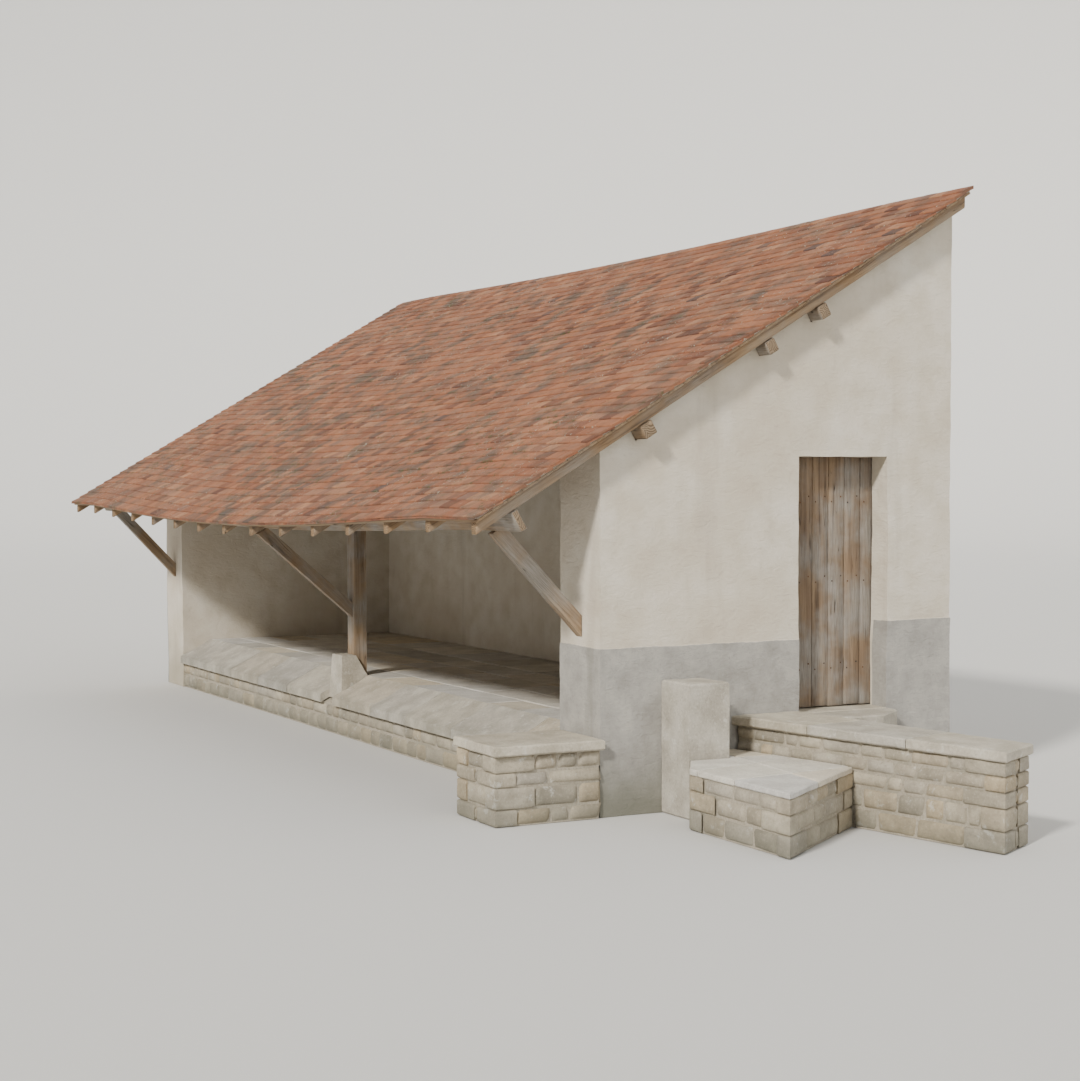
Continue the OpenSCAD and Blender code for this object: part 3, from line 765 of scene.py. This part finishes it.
def stone(acc, P, t, nr, w, h, x, z, depth, rec, sq0, sq1, tint):
    """One squared rubble stone: a worn face standing out of the joints. sq0/sq1: an end that turns a corner."""
    nu, nv = max(4, int(w / .03)), max(3, int(h / .03))
    u, v = np.meshgrid(np.linspace(-1, 1, nu + 1), np.linspace(-1, 1, nv + 1))
    u = np.sign(u) * np.abs(u) ** .72; v = np.sign(v) * np.abs(v) ** .72
    ju, jv = rs.uniform(-.012, .012, 4), rs.uniform(-.010, .010, 4)
    fu = np.clip(1 - np.abs(u) ** 9, 0, 1) ** .5
    if sq0: fu = np.where(u < 0, 1 - .25 * np.abs(u) ** 12, fu)
    if sq1: fu = np.where(u > 0, 1 - .25 * np.abs(u) ** 12, fu)
    fv = np.clip(1 - np.abs(v) ** 9, 0, 1) ** .5
    o = fu * fv
    cu = (1 - u) / 2; cv = (1 - v) / 2
    lean = (ju[0] * (1 - cu) + ju[1] * cu) * v * (0 if sq0 or sq1 else 1)
    tilt = (jv[0] * (1 - cv) + jv[1] * cv) * u
    xx = x + w / 2 + u * w / 2 + lean
    zz = z + h / 2 + v * h / 2 + tilt * .6 * (1 - np.abs(v) ** 3)
    nn = vnoise(np.stack([xx.ravel() / .07, zz.ravel() / .07, np.full(xx.size, P[0] * 3 + P[1] * 7 + tint * 9)], 1), 3).reshape(xx.shape)
    hh = -rec - .006 + (depth + .006) * o + nn * .0035 * o + rs.uniform(-.003, .003) * o
    hh = np.minimum(hh, -.0005)
    V = np.stack([P[0] + t[0] * xx + nr[0] * hh, P[1] + t[1] * xx + nr[1] * hh, zz], -1).reshape(-1, 3)
    idx = np.arange(V.shape[0]).reshape(nv + 1, nu + 1)
    F = [[idx[i, j], idx[i, j + 1], idx[i + 1, j + 1], idx[i + 1, j]] for i in range(nv) for j in range(nu)]
    bd = list(idx[0, :]) + list(idx[1:, -1]) + list(idx[-1, -2::-1]) + list(idx[-2:0:-1, 0])
    # a back behind the joint closes the stone
    k = len(V)
    back = V[bd].copy(); back[:, :2] -= np.array(nr) * .03
    F += [[bd[(i + 1) % len(bd)], bd[i], k + i, k + (i + 1) % len(bd)] for i in range(len(bd))]
    F.append([k + i for i in range(len(bd))])
    acc.add(np.concatenate([V, back]), [[int(i) for i in f] for f in F], tint)


def rubble(name, node, outline, z0, z1, faces=None, corners=True, top=None, extra=()):
    """Squared rubble brought to courses round an outline (to the left), on a mortar core."""
    rec = .020
    a = Acc()
    P = np.array(outline, float); n = len(P)
    hs, z = [], z0
    while z < z1 - 1e-6:
        h = rs.uniform(.095, .155)
        if z1 - z - h < .08:
            h = z1 - z if z1 - z < .19 else (z1 - z) / 2
        hs.append((z, h)); z += h
    on = lambda k: faces is None or k % n in faces
    turn = lambda k: corners and on(k - 1) and on(k) and (lambda e, g: e[0] * g[1] - e[1] * g[0] > 0)(P[k % n] - P[(k - 1) % n], P[(k + 1) % n] - P[k % n])
    size = {}
    for i in range(n):
        if not turn(i): continue
        d1, d2 = P[(i - 1) % n] - P[i], P[(i + 1) % n] - P[i]
        l1, l2 = np.linalg.norm(d1), np.linalg.norm(d2)
        for r, (z, h) in enumerate(hs):
            big, small = rs.uniform(.27, .36), rs.uniform(.15, .20)
            s1, s2 = (big, small) if (r + i) % 2 else (small, big)
            s1, s2 = min(s1, l1 * .46), min(s2, l2 * .46)
            size[i, r] = (s1, s2)
            C, u1, u2 = P[i], d1 / l1, d2 / l2
            q = inset(np.array([C, C + u2 * s2, C + u2 * s2 + u1 * s1, C + u1 * s1]), rs.uniform(.0012, .0035))
            v, f = prism([q.tolist()], z + .003, z + h - .0035, at_z, .028, .009)
            v = v + vecn(v + i * 5 + r, .06, 9) * .0014
            v[:, 2] = np.clip(v[:, 2], z + .0005, z + h - .001)
            a.add(v, f, rs.uniform(0, 1))
    for i in range(n):
        if not on(i): continue
        p, q = P[i], P[(i + 1) % n]
        L = np.linalg.norm(q - p)
        if L < .05: continue
        t = (q - p) / L; nr = (t[1], -t[0])
        for r, (z, h) in enumerate(hs):
            x = size[i, r][1] if (i, r) in size else .004
            end = L - (size[(i + 1) % n, r][0] if ((i + 1) % n, r) in size else .004)
            while x < end - 1e-6:
                w = rs.uniform(.13, .36)
                if end - x - w < .12: w = end - x
                g = .0035
                if w > .03:
                    stone(a, p, t, nr, w - 2 * g, h - 2 * g, x + g, z + g, .0185, rec, False, False, rs.uniform(0, 1))
                x += w
    make(name, a, RUBBLE, (node,), sharp=60)
    c = Acc()
    if node == "front_wall":
        c.add(*prism([[(rec, 0), (.33, 0), (.33, .450), (rec, .277)]], -9.9, -.6, at_x, .06))
    else:
        c.add(*prism([inset(P, rec).tolist()], z0, z1 - (.0 if top is None else .05), at_z, .06, 0))
    for e in extra:
        c.add(*e)
    make(name + "_core", c, MORTAR, amps=[(.12, .002), (.04, .0012)])


rubble("corner_wall_rubble", "corner_wall", [(-.58, -.84), (.04, -.84), (.04, -.002), (-.58, -.002)], 0, .489, (0, 1, 3))
rubble("wing_wall_rubble", "wing_wall", [(.002, 1.115), (2.390, 1.590), (2.180, 1.965), (.002, 1.635)], 0, .589, (0, 1, 2))
STEP = [(.002, .830), (.390, .830), (.390, .500), (.700, .300), (1.899, .300), (1.135, 1.335), (.002, 1.110)]
STEP = STEP  # runs with the solid on its left
rubble("lower_step_rubble", "lower_step", STEP, 0, .375, (1, 2, 3, 4, 5), top=None)
rubble("front_wall_rubble", "front_wall", [(-9.9, 0), (-.6, 0), (-.6, .30), (-9.9, .30)], 0, .268, (0,), corners=False)


def step_flags():
    """Flags over the lower step, cut from its outline."""
    bm = bmesh.new()
    P = inset(np.array(STEP, float), .0)
    f = bm.faces.new([bm.verts.new((x, y, 0)) for x, y in P])
    for co, no in (((.70, .70, 0), (1, .25, 0)), ((1.2, .7, 0), (1, .15, 0)), ((.9, .83, 0), (.12, 1, 0)), ((.36, .83, 0), (1, -.1, 0))):
        bmesh.ops.bisect_plane(bm, geom=bm.verts[:] + bm.edges[:] + bm.faces[:], plane_co=co, plane_no=no, dist=1e-5)
    a = Acc()
    for f in bm.faces:
        q = np.array([(v.co.x, v.co.y) for v in f.verts])
        area = .5 * np.sum(q[:, 0] * np.roll(q[:, 1], -1) - np.roll(q[:, 0], -1) * q[:, 1])
        if abs(area) < .004: continue
        if area < 0: q = q[::-1]
        q = inset(q, .004)
        a.add(*prism([q.tolist()], .374, .419 - rs.uniform(0, .004), at_z, .03, .008), rs.uniform(.1, .9))
    bm.free()
    make("lower_step_flags", a, PAVE, amps=SA)


step_flags()

# ---- timber
def bowed(name, node, y0, w, d, mat, ends, seed):
    xs = np.unique(np.round(np.concatenate([np.linspace(-10.64, .14, 58), [-10.64 + ends, .14 - ends] if ends else []]), 4))
    b = -.002 - d / 2 - sag(xs, y0) * CT
    C = np.stack([xs, y0 - b * ST, rz(y0) + b * CT], 1)
    a = Acc(); a.add(*beam(C, (0, CT, ST), (0, -ST, CT), w, d, .008, seed, .003, ends * .9), rs.uniform(.2, .7))
    make(name, a, mat, (node,), sharp=50)


bowed("eave_beam_oak", "eave_beam", -.740, .060, .160, OAKX, 0, 1)
bowed("wall_plate_oak", "wall_plate", .285, .110, .110, OAKX, .040, 2)
bowed("purlin_lower_oak", "purlin_lower", 1.310, .095, .105, OAKX, .020, 3)
bowed("purlin_upper_oak", "purlin_upper", 1.765, .095, .105, OAKX, .020, 4)

xs = np.linspace(-9.898, -.602, 48)
a = Acc(); a.add(*beam(np.stack([xs, np.full(48, 2.83), rz(2.77) - .064 - sag(xs, 2.83)], 1), (0, 1, 0), (0, 0, 1), .12, .12, .008, 5, .003), .4)
make("top_plate_oak", a, OAKX, ("top_plate",), sharp=50)


def rafters(idx, name, nodes):
    a = Acc()
    for i in idx:
        ys = np.linspace(-1.020, 3.085, 26)
        s0, s1 = float(sag(RX[i], -1.02)), float(sag(RX[i], 3.085))
        z = rz(ys) - (s0 + (s1 - s0) * (ys + 1.02) / 4.105) + RV / 2
        a.add(*beam(np.stack([np.full(26, RX[i]), ys, z], 1), (1, 0, 0), (0, 0, 1), .075, RV - .0008, .006, 20 + i, .0022), rs.uniform(.1, .9))
    make(name, a, RAFT, nodes, sharp=50)


rafters(range(1, 14), "common_rafters_sawn", ("common_rafters",))
rafters([0], "verge_rafter_near_sawn", ("verge_rafter_near",))
rafters([14], "verge_rafter_far_sawn", ("verge_rafter_far",))


def boards():
    a = Acc(); y = -1.040
    n = 36; wy = (3.090 + 1.040) / n
    for k in range(n):
        y0 = -1.040 + k * wy
        joints = [0] + sorted(rs.choice(range(2, 13), 3, replace=False).tolist()) + [14]
        for j0, j1 in zip(joints, joints[1:]):
            xa = .185 if j0 == 0 else RX[j0] - .001
            xb = -10.685 if j1 == 14 else RX[j1] + .001
            xs = np.linspace(xb, xa, max(4, int((xa - xb) / .38)))
            yc = y0 + wy / 2
            z = rz(yc) - sag(xs, yc) + RV + .0018 + BV / 2
            a.add(*beam(np.stack([xs, np.full(len(xs), yc), z], 1), (0, CT, ST), (0, -ST, CT), wy / CT - .0025, .0185, .002, k, .0), rs.uniform(0, 1))
    make("roof_boards_laid", a, BOARD, ("roof_boards",), sharp=50)


boards()


def tiles():
    a = Acc()
    Ls = (3.11 + 1.07) / CT
    nc, ncol = 44, 64
    e, pw, full, th, u0 = Ls / nc, 10.9 / ncol, .255, .0100, .0236
    base = RV + .0025 + BV
    cr = rs
    secs = np.array([-1, -.42, .42, 1.])
    def one(x0, x1, s0, s1, hd, tint, lift=1.):
        w = x1 - x0
        jt, js, rot = cr.uniform(0, .0016) * lift, cr.uniform(-.0008, .0008) * lift, cr.uniform(-.006, .006)
        slip = cr.uniform(-.003, .003) if s0 > .05 else cr.uniform(0, .003)
        cx, camb, dish = (x0 + x1) / 2, cr.uniform(.0006, .0020) * lift, cr.uniform(-.0006, .0004)
        R = []
        for d, kk in ((0., 1), (.006, 0), ((s1 - s0) * .5, 0), (s1 - s0, 0)):
            s = s0 + slip + d
            s = np.full(4, s) + rot * secs * w / 2
            hu = u0 * (1 - d / full) + jt * (1 - d / full) + js * secs + camb * (1 - secs ** 2) + (dish if d > .02 else 0)
            if hd: hu = hu * 0 + .001 + .0112 * (1 - d / .17) + camb * .5 * (1 - secs ** 2)
            ht = hu + th - (.0028 if kk else 0)
            xx = cx + secs * (w / 2 - .0011)
            ring = []
            for X, S, H in list(zip(xx, s, hu)) + list(zip(xx[::-1], s[::-1], ht[::-1])):
                S = min(max(S, 0), Ls); Y = -1.07 + S * CT
                ring.append((X, Y, H))
            R.append(np.array(ring))
        v, f = rings(R)
        z = rz(v[:, 1]) - sag(v[:, 0], v[:, 1]) + base + v[:, 2] / CT
        a.add(np.stack([v[:, 0], v[:, 1], z], 1), f, tint)
    def tone(k, j):
        return float(np.clip(cr.beta(2.1, 2.2) + .10 * math.sin(k * .7 + j * .23) * cr.uniform(0, 1), 0, 1))
    for k in range(-1, nc):
        hd = k < 0
        s0 = max(k, 0) * e
        s1 = min(s0 + (full if not hd else .17), Ls)
        off = .5 if k % 2 else 0
        cuts = [0.] + [(j + off) * pw for j in range(1 if not off else 0, ncol + (0 if off else 0)) if 0 < (j + off) * pw < 10.9 - 1e-6] + [10.9]
        for j, (u, w) in enumerate(zip(cuts, cuts[1:])):
            one(-10.7 + u, -10.7 + w, s0, s1, hd, tone(k, j), .6 if k > nc - 4 else 1.)
    make("roof_tiles_laid", a, TILE, ("roof_tiles",), clamp=True, sharp=40, fix=False)
    return a


tiles()


def verge_bedding():
    for nm, x0, x1 in (("near", .158, .186), ("far", -10.686, -10.658)):
        ys = np.linspace(-1.035, 3.085, 70)
        a = Acc()
        R = []
        for y in ys:
            zb = float(rz(y) - sag((x0 + x1) / 2, y)) + RV + .0028 + BV
            R.append(np.array([(x0, y, zb), (x1, y, zb), (x1 + .004 * (1 if nm == "near" else 0), y, zb + .012), (x1, y, zb + .021), (x0, y, zb + .021)]))
        v, f = rings(R)
        a.add(v, f)
        make("verge_bedding_" + nm, a, MORTAR, amps=[(.05, .0012)])


verge_bedding()


def eave_fillet():
    """The strip that tilts the first course."""
    xs = np.linspace(-10.683, .183, 90)
    R = []
    for x in xs:
        q = [(-1.036, .0028), (-.985, .0028), (-.985, .0075), (-1.036, .0112)]
        R.append(np.array([(x, y, float(rz(y) - sag(x, y)) + RV + BV + h) for y, h in q]))
    a = Acc(); a.add(*rings(R), .4)
    make("eave_tilting_fillet", a, BOARD, amps=[(.07, .0006)])


eave_fillet()


def keep(node, mat, slot, bevel=.006, seg=2):
    o = N[node]
    o.data.materials.clear(); o.data.materials.append(mat)
    if bevel:
        b = o.modifiers.new("ease", "BEVEL"); b.width = bevel; b.segments = seg; b.limit_method = "ANGLE"; b.angle_limit = math.radians(35)
        b.harden_normals = False


keep("middle_post", OAKZ, "oak", .009, 3)
for n_ in ("brace_near", "brace_middle", "brace_far"):
    keep(n_, OAKR, "oak", .007, 3)
keep("door_lintel", wood_mat("lintel_oak", 1, OAKP, OAKB, OAKD, .4), "oak", .007, 2)
keep("door_ledges", LEDGEW, "door_wood", .005, 2)
keep("door_hinges", IRON, "door_iron", .0012, 2)
keep("door_pintles", IRON, "door_iron", .001, 1)
keep("door_latch", IRON, "door_iron", .0012, 2)

# ---- door
lo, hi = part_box("door_boards")
bw = (hi.y - lo.y) / 6
a = Acc()
for k in range(6):
    y = lo.y + bw * (k + .5) - DY
    w = bw - .002
    top, bot = hi.z - rs.uniform(0, .002), lo.z + (0 if k % 2 else .003) + rs.uniform(0, .004)
    C = np.stack([np.full(30, (lo.x + hi.x) / 2 - DX), np.full(30, y), np.linspace(bot, top, 30)], 1)
    a.add(*beam(C, (0, 1, 0), (1, 0, 0), w, hi.x - lo.x, .0035, 60 + k, .0012), rs.uniform(0, .9))
make("door_boards_planed", a, DOORW, ("door_boards",), body="door_leaf", sharp=50)


def nails():
    a = Acc()
    x = hi.x - DX - .0006
    for z in (.960, 1.620, 2.220):
        for k in range(6):
            for s in (-.28, .28):
                y = lo.y - DY + bw * (k + .5 + s) + rs.uniform(-.004, .004); zc = z + (.022 if s > 0 else -.022) + rs.uniform(-.004, .004)
                if not 1.70 < y < 2.46: continue
                R = []
                for r, h in ((.0062, -.001), (.0062, .0008), (.0045, .0022), (.0018, .0028)):
                    t = np.linspace(0, 2 * math.pi, 9)[:-1]
                    R.append(np.stack([np.full(8, x + h), y + r * np.cos(t), zc + r * np.sin(t)], 1))
                a.add(*rings(R))
    make("door_nails", a, IRON, body="door_leaf", sharp=50)


nails()

# ---- stage, light, camera
prof = [(0, 0), (8, 0), (16, 0), (30, 0), (48, 0)] + [(48 + 26 * math.sin(t), 26 - 26 * math.cos(t)) for t in np.linspace(0, math.pi / 2, 16)[1:]] + [(74, 150)]
R = [np.array([(r * math.cos(t), r * math.sin(t), z - .003) for t in np.linspace(0, 2 * math.pi, 65)[:-1]]) for r, z in prof[1:]]
v, f_ = rings(R, False)
f_ = [q[::-1] for q in f_] + [list(range(64))]
me = bpy.data.meshes.new("studio_floor"); me.from_pydata(v.tolist(), [], f_)
me.polygons.foreach_set("use_smooth", [True] * len(me.polygons))
fl = bpy.data.objects.new("studio_floor", me); bpy.context.scene.collection.objects.link(fl)
fm = bpy.data.materials.new("studio_floor"); fm.use_nodes = True
fm.node_tree.nodes["Principled BSDF"].inputs["Base Color"].default_value = (.70, .695, .68, 1)
fm.node_tree.nodes["Principled BSDF"].inputs["Roughness"].default_value = .9
me.materials.append(fm)
fl.visible_shadow = False

w = bpy.data.worlds.new("studio"); bpy.context.scene.world = w; w.use_nodes = True
w.node_tree.nodes["Background"].inputs[0].default_value = (.93, .96, 1, 1)
w.node_tree.nodes["Background"].inputs[1].default_value = .72


def sun(name, d, energy, angle, color):
    L = bpy.data.lights.new(name, "SUN"); L.energy = energy; L.angle = math.radians(angle); L.color = color
    o = bpy.data.objects.new(name, L); bpy.context.scene.collection.objects.link(o)
    o.rotation_mode = "QUATERNION"; o.rotation_quaternion = Vector(d).normalized().to_track_quat("Z", "Y")


sun("key", (.62, -1.0, .78), 3.5, 6, (1, .96, .89))
sun("fill", (1.0, .15, .5), .7, 40, (.93, .96, 1))

f, cx, cy, cz, yaw, pitch, shx, shy, roll = 1963.48, 17.22892, -8.16191, 2.37147, .472199, .042136, -4.2993, 21.7387, -.0016188
F_ = Vector((-math.cos(yaw) * math.cos(pitch), math.sin(yaw) * math.cos(pitch), -math.sin(pitch)))
R_ = Vector((math.sin(yaw), math.cos(yaw), 0)); U_ = R_.cross(F_)
R2 = R_ * math.cos(roll) + U_ * math.sin(roll); U2 = -R_ * math.sin(roll) + U_ * math.cos(roll)
cam = bpy.data.cameras.new("camera"); cam.sensor_width = 36; cam.sensor_fit = "AUTO"
cam.lens = f / 1081 * 36; cam.shift_x = -shx / 1081; cam.shift_y = shy / 1081
cam.clip_start, cam.clip_end = .1, 500
co = bpy.data.objects.new("camera", cam); bpy.context.scene.collection.objects.link(co)
M = Matrix(((R2.x, U2.x, -F_.x, cx), (R2.y, U2.y, -F_.y, cy), (R2.z, U2.z, -F_.z, cz), (0, 0, 0, 1)))
co.matrix_world = M
bpy.context.scene.camera = co
